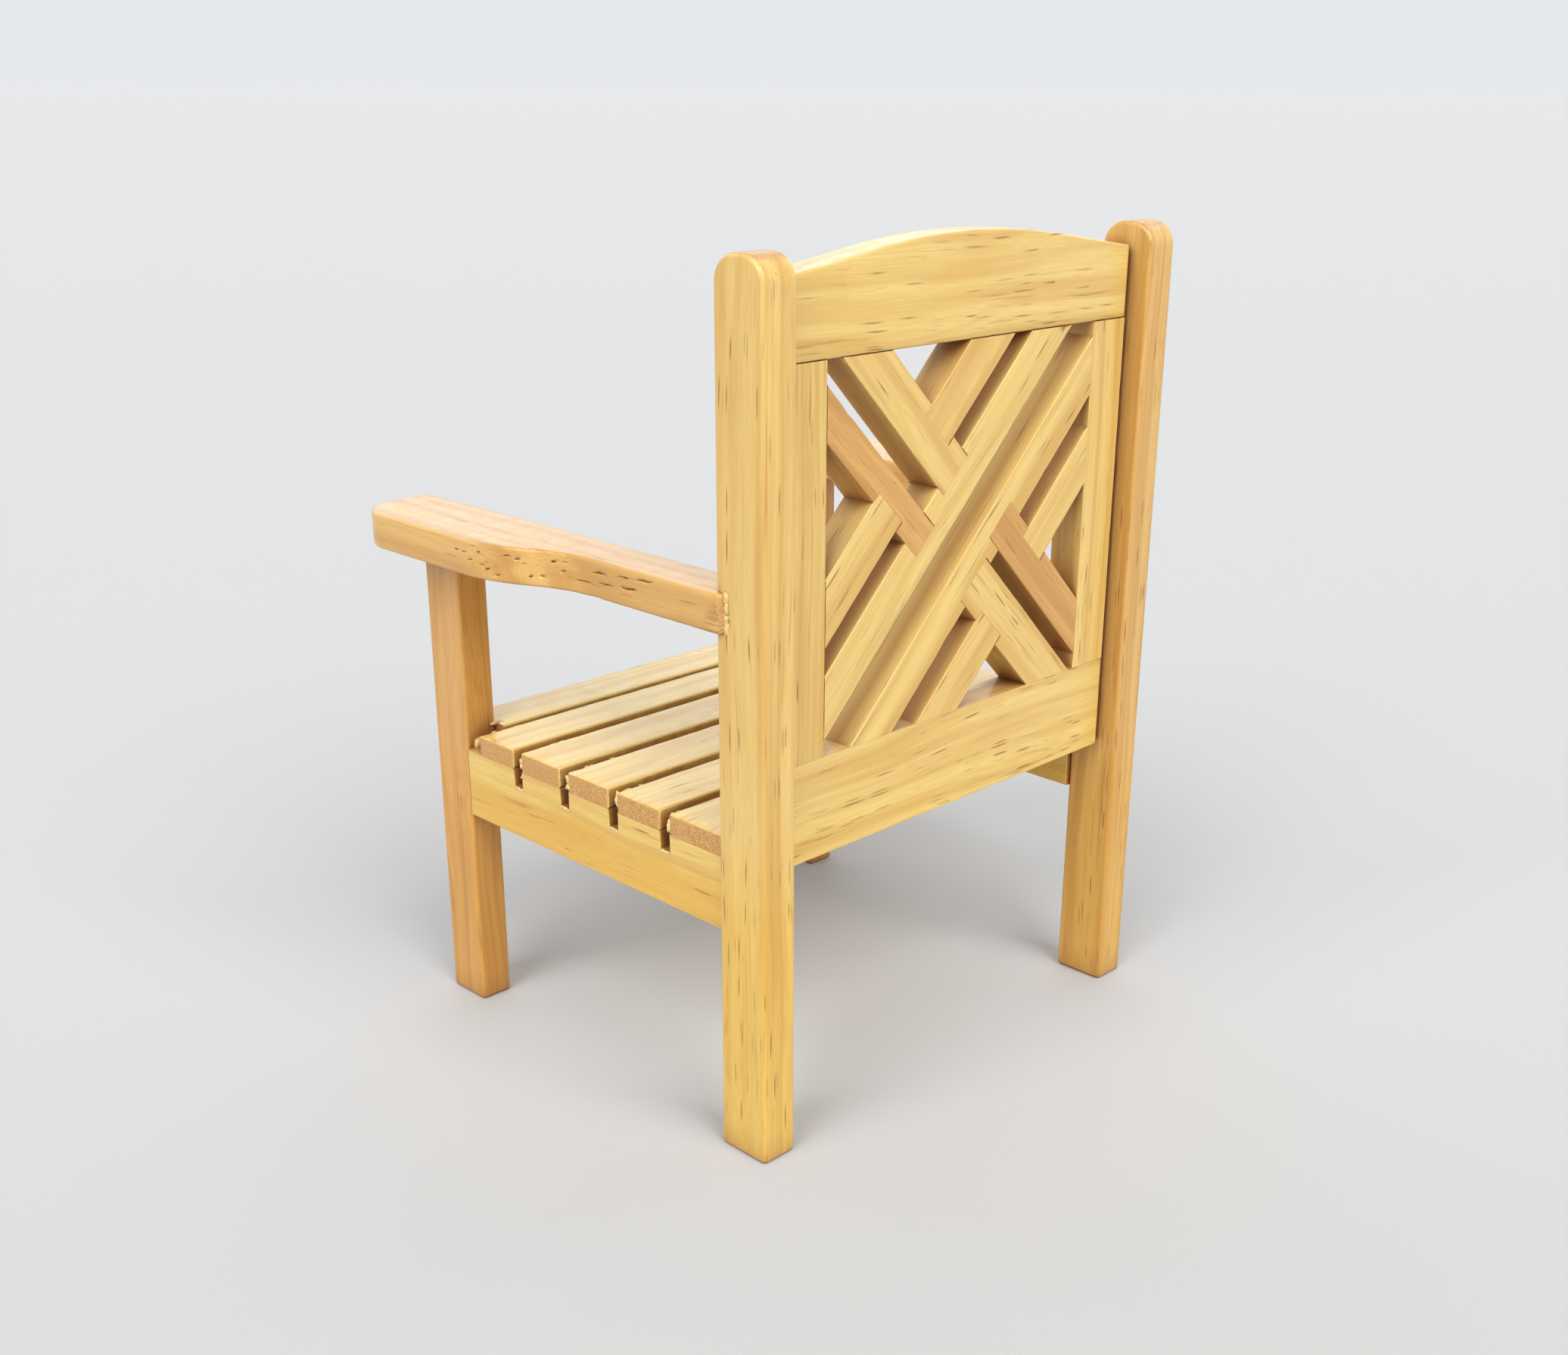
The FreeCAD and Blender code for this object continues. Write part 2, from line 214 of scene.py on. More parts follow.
def timber(node, number):
    """A detailed piece in place of a CAD node: eased, worn, split and in its own wood."""
    kind = FAMILIES[family(node)]
    seed = Vector((17.3, 5.1, 9.7)) * (number + 1)
    neighbours = surface([item.data for name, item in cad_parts.items() if name != node])
    shape, marks = ease_edges(whole_faces(node), node, neighbours, kind["ease"] * MM)
    slice_up(shape, kind["grain"], fine=node in SPLITS)
    wear_down(shape, marks, kind["wear"], seed)
    mesh = bpy.data.meshes.new(f"{node}_timber")
    shape.to_mesh(mesh)
    shape.free()
    if node in SPLITS:
        mesh = split(mesh, *SPLITS[node])
    mesh.shade_smooth()
    mesh.set_sharp_from_angle(angle=CREASE)
    mesh.materials.clear()
    mesh.materials.append(wood(node, number))
    piece = new_piece(f"{node}_timber", mesh)
    shading = piece.modifiers.new("flat_faces", "WEIGHTED_NORMAL")
    shading.weight = 80
    shading.keep_sharp = True
    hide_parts(node)


def new_piece(name, mesh):
    piece = bpy.data.objects.new(name, mesh)
    bpy.context.scene.collection.objects.link(piece)
    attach(piece, "root")
    return piece


# ---------------------------------------------------------------- cracks and pits

PROUD = 0.2 * MM
SLIT_STEP = 0.4 * MM
# How far to the side of the chair, in millimetres, the search for an arm's outer side starts.
ASIDE = 50


def slit(tool, skin, side, points, width, depth):
    """Add to the cutting tool a slender wedge that follows (y, z) points on the outer side."""
    path = [Vector((side * ASIDE, y, z)) * MM for y, z in points]
    stations = []
    for first, second in zip(path, path[1:]):
        count = max(3, math.ceil((second - first).length / SLIT_STEP))
        stations.extend(first.lerp(second, step / count) for step in range(count))
    stations.append(path[-1])
    hoops = []
    for index, station in enumerate(stations):
        share = index / (len(stations) - 1)
        taper = max(0.1, math.sin(math.pi * share) ** 0.6)
        body = taper * (0.75 + 0.5 * noise.noise(station / MM * 1.7))
        wander = UP * noise.noise(station / MM * 0.9) * 0.12 * MM
        spot, normal, _, _ = skin.ray_cast(station + wander, Vector((-side, 0, 0)))
        across = UP * width * body * MM / 2
        deepest = spot - normal * depth * body * MM
        rim = (spot + normal * PROUD, spot + across, deepest, spot - across)
        hoops.append([tool.verts.new(place) for place in rim])
    for hoop, following in zip(hoops, hoops[1:]):
        for a in range(4):
            b = (a + 1) % 4
            tool.faces.new((hoop[a], hoop[b], following[b], following[a]))
    tool.faces.new(hoops[0][::-1])
    tool.faces.new(hoops[-1])


def split(mesh, side, slits):
    """The mesh with slits cut into its outer side."""
    skin = surface([mesh])
    tool = bmesh.new()
    for points, width, depth in slits:
        slit(tool, skin, side, points, width, depth)
    bmesh.ops.recalc_face_normals(tool, faces=tool.faces)
    tool_mesh = bpy.data.meshes.new("slits")
    tool.to_mesh(tool_mesh)
    tool.free()
    whole = bpy.data.objects.new("whole", mesh)
    cutter = bpy.data.objects.new("slits", tool_mesh)
    for item in (whole, cutter):
        bpy.context.scene.collection.objects.link(item)
    carve = whole.modifiers.new("carve", "BOOLEAN")
    carve.operation = "DIFFERENCE"
    carve.solver = "EXACT"
    carve.object = cutter
    graph = bpy.context.evaluated_depsgraph_get()
    result = bpy.data.meshes.new_from_object(whole.evaluated_get(graph))
    for item in (whole, cutter):
        bpy.data.objects.remove(item)
    return result


STRETCHES = 3
CRACK_RISE = 0.08
# The shares of an arm's length between which its pits lie.
PIT_ZONE = (0.34, 0.6)
PIT_WIDTH = 0.26
PIT_DEPTH = 0.3
PIT_FALL = 0.04
PIT_RISE = 0.06


def arm_place(along, up):
    """(y, z) on an arm's outer side, in millimetres, from shares of its length and thickness."""
    low, high = (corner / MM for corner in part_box("arm_left"))
    return low.y + along * (high.y - low.y), low.z + up * (high.z - low.z)


def crack(along, up, reach, draw):
    """A crack along the grain, broken into stretches of different widths and depths."""
    y, z = arm_place(along, up)
    stretch = reach / STRETCHES
    slits = []
    for step in range(STRETCHES):
        length = stretch * draw.uniform(0.7, 0.92)
        start = stretch * step
        runs = [start + length * share for share in (0, 0.5, 1)]
        points = [(y + run, z + CRACK_RISE * run) for run in runs]
        slits.append((points, draw.uniform(0.15, 0.32), draw.uniform(0.2, 0.4)))
    return slits


def pits(count, draw):
    """Short pits scattered over the middle of an arm's side, one to each step along it."""
    slits = []
    for index in range(count):
        share = (index + draw.uniform(0.4, 0.6)) / count
        along = PIT_ZONE[0] + (PIT_ZONE[1] - PIT_ZONE[0]) * share
        y, z = arm_place(along, draw.uniform(0.2, 0.8))
        length = draw.uniform(0.5, 0.95)
        points = [(y - length / 2, z - PIT_FALL), (y, z), (y + length / 2, z + PIT_RISE)]
        slits.append((points, PIT_WIDTH, PIT_DEPTH))
    return slits


def arm_marks(seed, pit_count, cracks):
    """The slits of one arm. Each crack is where it starts, how high it lies and its length."""
    draw = random.Random(seed)
    slits = pits(pit_count, draw)
    for along, up, reach in cracks:
        slits += crack(along, up, reach, draw)
    return slits


SPLITS = {
    "arm_left": (1, arm_marks(5, 12, [(0.66, 0.65, 10.0), (0.62, 0.35, 10.0)])),
    "arm_right": (-1, arm_marks(8, 4, [(0.64, 0.5, 6.0)])),
}


# ---------------------------------------------------------------- torn fibre and glue

# Lengths in this section are in millimetres.
SLOTS_SAWN = 4
FRONT_SLAT = 6
SLOT_FOOT = 2.1
SLIVERS = 4
HEEL_SPOTS = 5
HEEL_MARGIN = 0.6
GAP_SPOTS = 9
# How far the gap glue stays below the crest's top, and in from the panel's back face.
GAP_TOP = 5
GAP_INSET = 1.1


def lump(target, centre, size, seed):
    """Add an irregular lump, with its half sizes, to a bmesh."""
    made = bmesh.ops.create_icosphere(target, subdivisions=2, radius=1.0)
    for vertex in made["verts"]:
        swell = 1 + 0.9 * noise.noise(vertex.co * 1.6 + Vector((seed * 7.1, seed * 3.3, seed)))
        offset = Vector(a * b for a, b in zip(vertex.co, size)) * swell
        vertex.co = (Vector(centre) + offset) * MM


def loose_bits(name, bits, material):
    """One piece made of irregular lumps, each given as its centre and half sizes."""
    target = bmesh.new()
    for index, (centre, size) in enumerate(bits):
        lump(target, centre, size, index + len(name))
    mesh = bpy.data.meshes.new(name)
    target.to_mesh(mesh)
    target.free()
    mesh.shade_smooth()
    mesh.materials.append(material)
    new_piece(name, mesh)


def slat_box(index):
    """The corners of a slat, counted from the back, in millimetres."""
    return [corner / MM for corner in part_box(f"seat_slat_{index}")]


def torn_fibre(side, draw):
    """Fibre left by the saw: along the slat ends beside each slot, and at the slot's foot."""
    rail_top = slat_box(1)[0].z
    seat_top = slat_box(1)[1].z
    outer = slat_box(1)[1].x
    bits = []
    for index in range(1, SLOTS_SAWN + 1):
        rear_edge = slat_box(index)[0].y
        front_edge = slat_box(index + 1)[1].y
        rough = draw.uniform(0.6, 1.25)
        for _ in range(draw.choice((3, 4, 5))):
            z = draw.uniform(rail_top - 0.7, seat_top - 0.35)
            reach = rough * draw.uniform(0.22, 0.46)
            place = (side * (outer - draw.uniform(0.15, 0.4)), rear_edge - 0.03, z)
            size = (draw.uniform(0.18, 0.3), reach, draw.uniform(0.3, 0.6))
            bits.append((place, size))
        for step in range(5):
            y = front_edge + (rear_edge - front_edge) * (step + 0.5) / 5
            place = (side * (outer - 0.07), y, rail_top - SLOT_FOOT + draw.uniform(-0.12, 0.1))
            size = (draw.uniform(0.08, 0.14), draw.uniform(0.12, 0.2), draw.uniform(0.1, 0.2))
            bits.append((place, size))
    return bits


def splinters(side, draw):
    """Slivers lying on the front edges of the slats behind the front one, near their ends."""
    seat_top = slat_box(1)[1].z
    outer = slat_box(1)[1].x
    bits = []
    for index in range(1, FRONT_SLAT):
        edge = slat_box(index)[0].y
        for _ in range(SLIVERS):
            x = outer - draw.uniform(0.2, 6.0) ** 1.1
            size = (draw.uniform(0.12, 0.5), draw.uniform(0.05, 0.1), draw.uniform(0.05, 0.12))
            place = (side * x, edge - draw.uniform(0.0, 0.12), seat_top - draw.uniform(0.12, 0.3))
            bits.append((place, size))
    return bits


def glue_spots(side):
    """Dried glue: behind the arm's heel on the post, and at the front post's inner corner."""
    heel_low, heel_high = (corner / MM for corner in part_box("arm_left"))
    post_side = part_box("rear_post_left")[1].x / MM
    bits = []
    height = heel_high.z - heel_low.z - 2 * HEEL_MARGIN
    for step in range(HEEL_SPOTS):
        z = heel_low.z + HEEL_MARGIN + height * step / (HEEL_SPOTS - 1)
        bits.append(((side * (post_side - 0.03), heel_high.y, z), (0.26, 0.5, 0.8)))
    post_low, post_high = (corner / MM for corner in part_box("front_post_left"))
    seat_top = slat_box(1)[1].z
    smear = (side * post_low.x, post_high.y + 0.1, seat_top)
    bits.append((smear, (0.8, 0.4, 0.22)))
    fillet = (side * (post_low.x + 2.2), post_high.y + 0.2, seat_top - 1.9)
    bits.append((fillet, (1.0, 0.3, 0.7)))
    return bits


def gap_glue(side, draw):
    """Glue squeezed out of the joint between the back panel and a post."""
    panel_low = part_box("back_stile_left")[0].z / MM
    crest_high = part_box("crest_rail")[1] / MM
    bits = []
    for _ in range(GAP_SPOTS):
        z = draw.uniform(panel_low, crest_high.z - GAP_TOP)
        place = (side * (crest_high.x - draw.uniform(0.0, 0.3)), crest_high.y - GAP_INSET, z)
        bits.append((place, (0.25, 0.3, draw.uniform(0.2, 0.7))))
    return bits


def leftovers():
    """Everything that making and gluing the chair left behind."""
    draw = random.Random(12)
    for name, side in (("left", 1), ("right", -1)):
        loose_bits(f"torn_fibre_{name}", torn_fibre(side, draw), FIBRE)
        loose_bits(f"splinters_{name}", splinters(side, draw), FIBRE)
        loose_bits(f"glue_{name}", glue_spots(side), GLUE)
        loose_bits(f"gap_glue_{name}", gap_glue(side, draw), GLUE)


# ---------------------------------------------------------------- node trees


def add(tree, kind, sockets=None, output=0, **settings):
    """Add a node. Sockets are numbers, or the output of another node, which is linked."""
    made = tree.nodes.new(kind)
    for name, value in settings.items():
        setattr(made, name, value)
    for name, value in (sockets or {}).items():
        if isinstance(value, bpy.types.NodeSocket):
            tree.links.new(value, made.inputs[name])
        else:
            made.inputs[name].default_value = value
    return made.outputs[output]


def maths(tree, operation, first, second=0.0, third=0.0):
    return add(tree, "ShaderNodeMath", {0: first, 1: second, 2: third}, operation=operation)


def vectors(tree, operation, first, second):
    sockets = {0: first, 1: second}
    return add(tree, "ShaderNodeVectorMath", sockets, operation=operation)


def ramp(tree, value, low, high, to_low=0.0, to_high=1.0):
    """A smooth step from to_low to to_high as the value goes from low to high."""
    sockets = {"Value": value, "From Min": low, "From Max": high, "To Min": to_low, "To Max": to_high}
    return add(tree, "ShaderNodeMapRange", sockets, interpolation_type="SMOOTHSTEP")


def tint(tree, factor, first, second, mode="MIX"):
    sockets = {0: factor, 6: first, 7: second}
    return add(tree, "ShaderNodeMix", sockets, output=2, data_type="RGBA", blend_type=mode)


def cloud(tree, place, scale, detail=3.0, roughness=0.55):
    sockets = {"Vector": place, "Scale": scale, "Detail": detail, "Roughness": roughness}
    return add(tree, "ShaderNodeTexNoise", sockets)


def streaks(tree, place, length, width, detail=3.0, roughness=0.55):
    """Noise drawn out along the grain, with features about that long and wide."""
    drawn = vectors(tree, "MULTIPLY", place, (1 / length, 1 / width, 1 / width))
    return cloud(tree, drawn, 1.0, detail, roughness)


def dashes(tree, place, length, width, share, ragged):
    """Slender marks along the grain. One cell in so many holds a mark."""
    drawn = vectors(tree, "MULTIPLY", place, (1 / length, 1 / width, 1 / width))
    cells = tree.nodes.new("ShaderNodeTexVoronoi")
    tree.links.new(drawn, cells.inputs["Vector"])
    cells.inputs["Scale"].default_value = 1.0
    chance = tree.nodes.new("ShaderNodeSeparateColor")
    tree.links.new(cells.outputs["Color"], chance.inputs[0])
    reach = maths(tree, "ADD", cells.outputs["Distance"], ragged)
    body = ramp(tree, reach, 0.45, 0.15)
    chosen = maths(tree, "LESS_THAN", chance.outputs["Red"], share)
    strength = ramp(tree, chance.outputs["Green"], 0.0, 1.0, 0.35, 1.0)
    return maths(tree, "MULTIPLY", maths(tree, "MULTIPLY", body, chosen), strength)


def warped(tree, place):
    """The grain wanders a little from side to side as it goes along."""
    drawn = vectors(tree, "MULTIPLY", place, (0.03, 0.1, 0.1))
    swing = tree.nodes.new("ShaderNodeTexNoise")
    tree.links.new(drawn, swing.inputs["Vector"])
    swing.inputs["Scale"].default_value = 1.0
    swing.inputs["Detail"].default_value = 1.0
    sideways = vectors(tree, "SUBTRACT", swing.outputs["Color"], (0.5, 0.5, 0.5))
    sideways = vectors(tree, "MULTIPLY", sideways, (0.0, 3.0, 3.0))
    return vectors(tree, "ADD", place, sideways)


def rings(tree, place):
    """Growth rings about the X axis, of uneven width and strength."""
    flat = vectors(tree, "MULTIPLY", place, (0.0, 1.0, 1.0))
    radius = add(tree, "ShaderNodeVectorMath", {0: flat}, output=1, operation="LENGTH")
    sockets = {"W": radius, "Scale": 0.5, "Detail": 3.0, "Roughness": 0.55}
    return add(tree, "ShaderNodeTexNoise", sockets, noise_dimensions="1D")


def grain_group():
    """Varnished hardwood with its grain along X, in millimetres."""
    tree = bpy.data.node_groups.new("wood_grain", "ShaderNodeTree")
    sockets = {
        "Place": "NodeSocketVector",
        "Pale": "NodeSocketColor",
        "Deep": "NodeSocketColor",
        "End": "NodeSocketFloat",
        "Painted Shade And Burn": "NodeSocketFloat",
        "Heart": "NodeSocketFloat",
        "Pores": "NodeSocketFloat",
    }
    for name, kind in sockets.items():
        tree.interface.new_socket(name, in_out="INPUT", socket_type=kind)
    for name, kind in (("Color", "Color"), ("Roughness", "Float"), ("Height", "Float")):
        tree.interface.new_socket(name, in_out="OUTPUT", socket_type=f"NodeSocket{kind}")
    given = tree.nodes.new("NodeGroupInput").outputs
    result = tree.nodes.new("NodeGroupOutput").inputs
    place = warped(tree, given["Place"])
    fibre = streaks(tree, place, 9.0, 0.15, 3.0, 0.6)
    ragged = maths(tree, "MULTIPLY", maths(tree, "SUBTRACT", fibre, 0.5), 0.6)
    patches = streaks(tree, place, 22.0, 3.0, 1.0)
    crowd = maths(tree, "MULTIPLY", given["Pores"], ramp(tree, patches, 0.3, 0.7, 0.3, 1.8))
    pores = dashes(tree, place, 4.6, 0.32, crowd, ragged)
    lines = streaks(tree, place, 18.0, 0.36, 2.0, 0.5)
    dark_lines = maths(tree, "MULTIPLY", ramp(tree, lines, 0.58, 0.74), ramp(tree, patches, 0.38, 0.6))

    bands = streaks(tree, place, 60.0, 1.9, 2.0, 0.5)
    figure = maths(tree, "MULTIPLY_ADD", rings(tree, place), 0.5, maths(tree, "MULTIPLY", bands, 0.5))
    color = tint(tree, ramp(tree, figure, 0.4, 0.64), given["Pale"], given["Deep"])
    color = tint(tree, maths(tree, "MULTIPLY", given["Heart"], 0.6), color, HEART)
    color = tint(tree, ramp(tree, fibre, 0.36, 0.64, 0.0, 0.4), color, given["Deep"])
    color = tint(tree, maths(tree, "MULTIPLY", dark_lines, 0.5), color, DARK_LINE)
    color = tint(tree, maths(tree, "MULTIPLY", pores, 0.85), color, PORE)
    end_color = tint(tree, ramp(tree, fibre, 0.35, 0.65), END_DARK, END_PALE)
    color = tint(tree, given["End"], color, end_color)
    # Painted shade in crevices and hollows, and saw burn on sawn walls, darken the colour to this
    # brown.
    color = tint(tree, given["Painted Shade And Burn"], color, SHADE_BURN_BROWN)
    tree.links.new(color, result["Color"])

    varnish = cloud(tree, given["Place"], 0.5, 3.0)
    roughness = ramp(tree, varnish, 0.3, 0.7, 0.3, 0.42)
    roughness = maths(tree, "MULTIPLY_ADD", pores, 0.2, roughness)
    roughness = maths(tree, "MULTIPLY_ADD", given["End"], 0.15, roughness)
    roughness = maths(tree, "MULTIPLY_ADD", given["Painted Shade And Burn"], 0.3, roughness)
    tree.links.new(roughness, result["Roughness"])

    orange_peel = cloud(tree, given["Place"], 1.8, 2.0)
    height = maths(tree, "MULTIPLY_ADD", fibre, 0.5, maths(tree, "MULTIPLY", orange_peel, 0.5))
    height = maths(tree, "MULTIPLY_ADD", pores, -0.9, height)
    height = maths(tree, "MULTIPLY_ADD", dark_lines, -0.3, height)
    tree.links.new(height, result["Height"])
    return tree


# ---------------------------------------------------------------- finishes

STRAW_PALE = (0.79, 0.585, 0.19, 1)
STRAW_DEEP = (0.64, 0.388, 0.092, 1)
ROSE_PALE = (0.68, 0.38, 0.105, 1)
ROSE_DEEP = (0.5, 0.235, 0.05, 1)
HEART = (0.72, 0.42, 0.07, 1)
END_PALE = (0.66, 0.38, 0.12, 1)
END_DARK = (0.4, 0.185, 0.045, 1)
DARK_LINE = (0.36, 0.155, 0.03, 1)
PORE = (0.3, 0.11, 0.018, 1)
# The brown of painted shade in crevices and hollows, and of saw burn.
SHADE_BURN_BROWN = (0.28, 0.1, 0.022, 1)
# Painted shade: the colour is darker and more orange lower down, for the shade nearer the
# floor: not at all at the first height, in millimetres, and fully at the second.
LOW_SHADE_TINT = (0.98, 0.92, 0.6, 1)
LOW_SHADE_START = 38.0
LOW_SHADE_FULL = 24.0
# How near the wood around a point has to be for painted shade to darken it as a crevice, and as a
# hollow.
NARROW = 2.0 * MM
ENCLOSED = 8.0 * MM
# Where each piece was cut from: how far on along the trunk, round it and out from the pith, in
# millimetres and radians.
PITH_STEP = 61.0
PITH_TURN = 2.4
PITH_RADIUS = 19.0
WOOD_GRAIN = grain_group()


def shade(first, second, share):
    return [a + (b - a) * share for a, b in zip(first, second)]


def position(tree, place, axis):
    """How far along an axis, in millimetres."""
    parts = tree.nodes.new("ShaderNodeSeparateXYZ")
    tree.links.new(place, parts.inputs[0])
    return maths(tree, "MULTIPLY", parts.outputs[axis], 1 / MM)


def wavering(tree, place, axis, waver):
    """How far along an axis, in millimetres, give or take a wavering noise."""
    swing = maths(tree, "SUBTRACT", cloud(tree, place, 0.22 / MM, 3.0), 0.5)
    return maths(tree, "MULTIPLY_ADD", swing, waver, position(tree, place, axis))


def heartwood(tree, place):
    """The side rails are heartwood below a wavering line."""
    low, high = (corner.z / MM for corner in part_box("side_rail_left"))
    line = low + 0.6 * (high - low)
    return ramp(tree, wavering(tree, place, "Z", 3.0), line + 0.5, line - 0.5)


def shaded_and_burnt_walls(tree, coordinates):
    """The walls that the saw left are darkened brown: saw burn, and painted shade in the narrow slots.
    The seat's front face is planed clean.
    """
    place = coordinates.outputs["Object"]
    facing = tree.nodes.new("ShaderNodeSeparateXYZ")
    tree.links.new(coordinates.outputs["Normal"], facing.inputs[0])
    wall = ramp(tree, maths(tree, "ABSOLUTE", facing.outputs["Y"]), 0.75, 1.0)
    front = slat_box(FRONT_SLAT)[0].y
    behind = ramp(tree, position(tree, place, "Y"), front + 1, front + 2)
    marks = cloud(tree, place, 0.8 / MM, 3.0)
    wall_darkening = maths(tree, "MULTIPLY", wall, ramp(tree, marks, 0.3, 0.7, 0.45, 0.75))
    return maths(tree, "MULTIPLY", wall_darkening, behind)


def worn_heel(tree, place):
    """End grain shows where the rear end of an arm is sanded round, further along lower down."""
    low, high = (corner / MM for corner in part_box("arm_left"))
    height = maths(tree, "SUBTRACT", position(tree, place, "Z"), (low.z + high.z) / 2)
    along = maths(tree, "MULTIPLY_ADD", height, -0.8, wavering(tree, place, "Y", 3.0))
    return ramp(tree, along, high.y - 2.6, high.y - 0.4)


def occlusion_shade(tree, distance, open_share, closed_share, strength):
    """Painted shade: from 0 in the open to strength where the wood within that distance shuts a point
    in.
    """
    sockets = {"Distance": distance}
    share = add(tree, "ShaderNodeAmbientOcclusion", sockets, output=1, samples=8)
    return ramp(tree, share, open_share, closed_share, 0.0, strength)


def along_grain(tree, coordinates, grain):
    """How squarely a face looks along the grain, from 0 for side grain to 1 for end grain."""
    sockets = {0: coordinates.outputs["Normal"], 1: grain}
    facing = add(tree, "ShaderNodeVectorMath", sockets, output=1, operation="DOT_PRODUCT")
    return ramp(tree, maths(tree, "ABSOLUTE", facing), 0.7, 0.95)


def in_the_tree(tree, coordinates, node, number, grain):
    """Places in the tree that the piece was cut from, in millimetres with the grain along X."""
    turn = grain.rotation_difference(ACROSS)
    low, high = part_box(node)
    centre = turn @ ((low + high) / 2 / MM)
    angle = PITH_TURN * number
    sideways = (PITH_RADIUS * math.cos(angle), PITH_RADIUS * math.sin(angle))
    pith = Vector((PITH_STEP * number, *sideways))
    sockets = {
        "Vector": coordinates.outputs["Object"],
        "Location": pith - centre,
        "Rotation": turn.to_euler(),
        "Scale": (1 / MM,) * 3,
    }
    return add(tree, "ShaderNodeMapping", sockets)


def wood(node, number):
    """The wood of one piece: its own part of the tree, turned to its grain."""
    kind = FAMILIES[family(node)]
    rose = ROSE.get(node, kind["rose"])
    material = bpy.data.materials.new(f"{node}_wood")
    material.use_nodes = True
    tree = material.node_tree
    tree.nodes.clear()
    coordinates = tree.nodes.new("ShaderNodeTexCoord")
    place = coordinates.outputs["Object"]
    end = along_grain(tree, coordinates, kind["grain"])
    # Painted shade where nearby wood shuts a point in, in crevices and in hollows.
    crevice_shade = occlusion_shade(tree, NARROW, 0.8, 0.15, 0.85)
    hollow_shade = occlusion_shade(tree, ENCLOSED, 0.72, 0.3, 0.9)
    painted_shade_and_burn = maths(tree, "MAXIMUM", crevice_shade, hollow_shade)
    if family(node) == "arm":
        end = maths(tree, "MAXIMUM", end, worn_heel(tree, place))
    # Sawn walls get saw burn and painted shade.
    if family(node) in ("seat_slat", "side_rail"):
        painted_shade_and_burn = maths(tree, "MAXIMUM", painted_shade_and_burn, shaded_and_burnt_walls(tree, coordinates))
    group = tree.nodes.new("ShaderNodeGroup")
    group.node_tree = WOOD_GRAIN
    group.inputs["Pale"].default_value = shade(STRAW_PALE, ROSE_PALE, rose)
    group.inputs["Deep"].default_value = shade(STRAW_DEEP, ROSE_DEEP, rose)
    group.inputs["Pores"].default_value = kind["pores"]
    in_tree = in_the_tree(tree, coordinates, node, number, kind["grain"])
    tree.links.new(in_tree, group.inputs["Place"])
    tree.links.new(end, group.inputs["End"])
    tree.links.new(painted_shade_and_burn, group.inputs["Painted Shade And Burn"])
    if family(node) == "side_rail":
        tree.links.new(heartwood(tree, place), group.inputs["Heart"])
    # Painted shade: darker and more orange lower down.
    low_shade = ramp(tree, wavering(tree, place, "Z", 8.0), LOW_SHADE_START, LOW_SHADE_FULL)
    bump = {"Strength": 0.6, "Distance": 0.05 * MM, "Height": group.outputs["Height"]}
    finish = {
        "Base Color": tint(tree, low_shade, group.outputs["Color"], LOW_SHADE_TINT, "MULTIPLY"),
        "Roughness": group.outputs["Roughness"],
        "IOR": 1.5,
        "Coat Weight": 0.35,
        "Coat Roughness": 0.18,
        "Normal": add(tree, "ShaderNodeBump", bump),
    }
    shader = add(tree, "ShaderNodeBsdfPrincipled", finish)
    tree.links.new(shader, tree.nodes.new("ShaderNodeOutputMaterial").inputs["Surface"])
    return material


def mottled(name, first, second, scale, roughness, coat):
    """A small rough thing of two blended colours."""
    material = bpy.data.materials.new(name)
    material.use_nodes = True
    tree = material.node_tree
    tree.nodes.clear()
    place = tree.nodes.new("ShaderNodeTexCoord").outputs["Object"]
    pattern = cloud(tree, place, scale / MM)
    bump = {"Strength": 0.5, "Distance": 0.05 * MM, "Height": pattern}
    finish = {
        "Base Color": tint(tree, ramp(tree, pattern, 0.35, 0.65), first, second),
        "Roughness": ramp(tree, pattern, 0.3, 0.7, roughness, roughness + 0.15),
        "Coat Weight": coat,
        "Normal": add(tree, "ShaderNodeBump", bump),
    }
    shader = add(tree, "ShaderNodeBsdfPrincipled", finish)
    tree.links.new(shader, tree.nodes.new("ShaderNodeOutputMaterial").inputs["Surface"])
    return material


FIBRE_PALE = (0.86, 0.7, 0.36, 1)
FIBRE_DEEP = (0.7, 0.46, 0.16, 1)
GLUE_PALE = (0.74, 0.53, 0.22, 1)
GLUE_DEEP = (0.6, 0.36, 0.11, 1)
FIBRE = mottled("torn_fibre", FIBRE_PALE, FIBRE_DEEP, scale=3.0, roughness=0.6, coat=0.0)
GLUE = mottled("dried_glue", GLUE_PALE, GLUE_DEEP, scale=1.2, roughness=0.3, coat=0.5)

# ---------------------------------------------------------------- studio

# The surround's colour, and its strength at the horizon, overhead and on the bright wall, which
# stands where AHEAD points.
SKY = (0.95, 0.97, 1.0)
HORIZON = 0.84
OVERHEAD = 0.25
WALL = 1.35
AHEAD = (-0.71, -0.7, 0)
# The floor's grey, and half the length of its sides.
FLOOR = 0.52
FLOOR_HALF = 30.0
# The photograph's camera: where it is, the way it looks and how it is tilted, in radians, and
# its lens.
CAMERA_PLACE = (0.139885, 0.14201, 0.103837)
CAMERA_AZIMUTH = 0.7961
CAMERA_DOWN = 0.3702
CAMERA_ROLL = 0.0065
LENS = 40.89
LENS_SHIFT = (-0.0136, 0.0613)


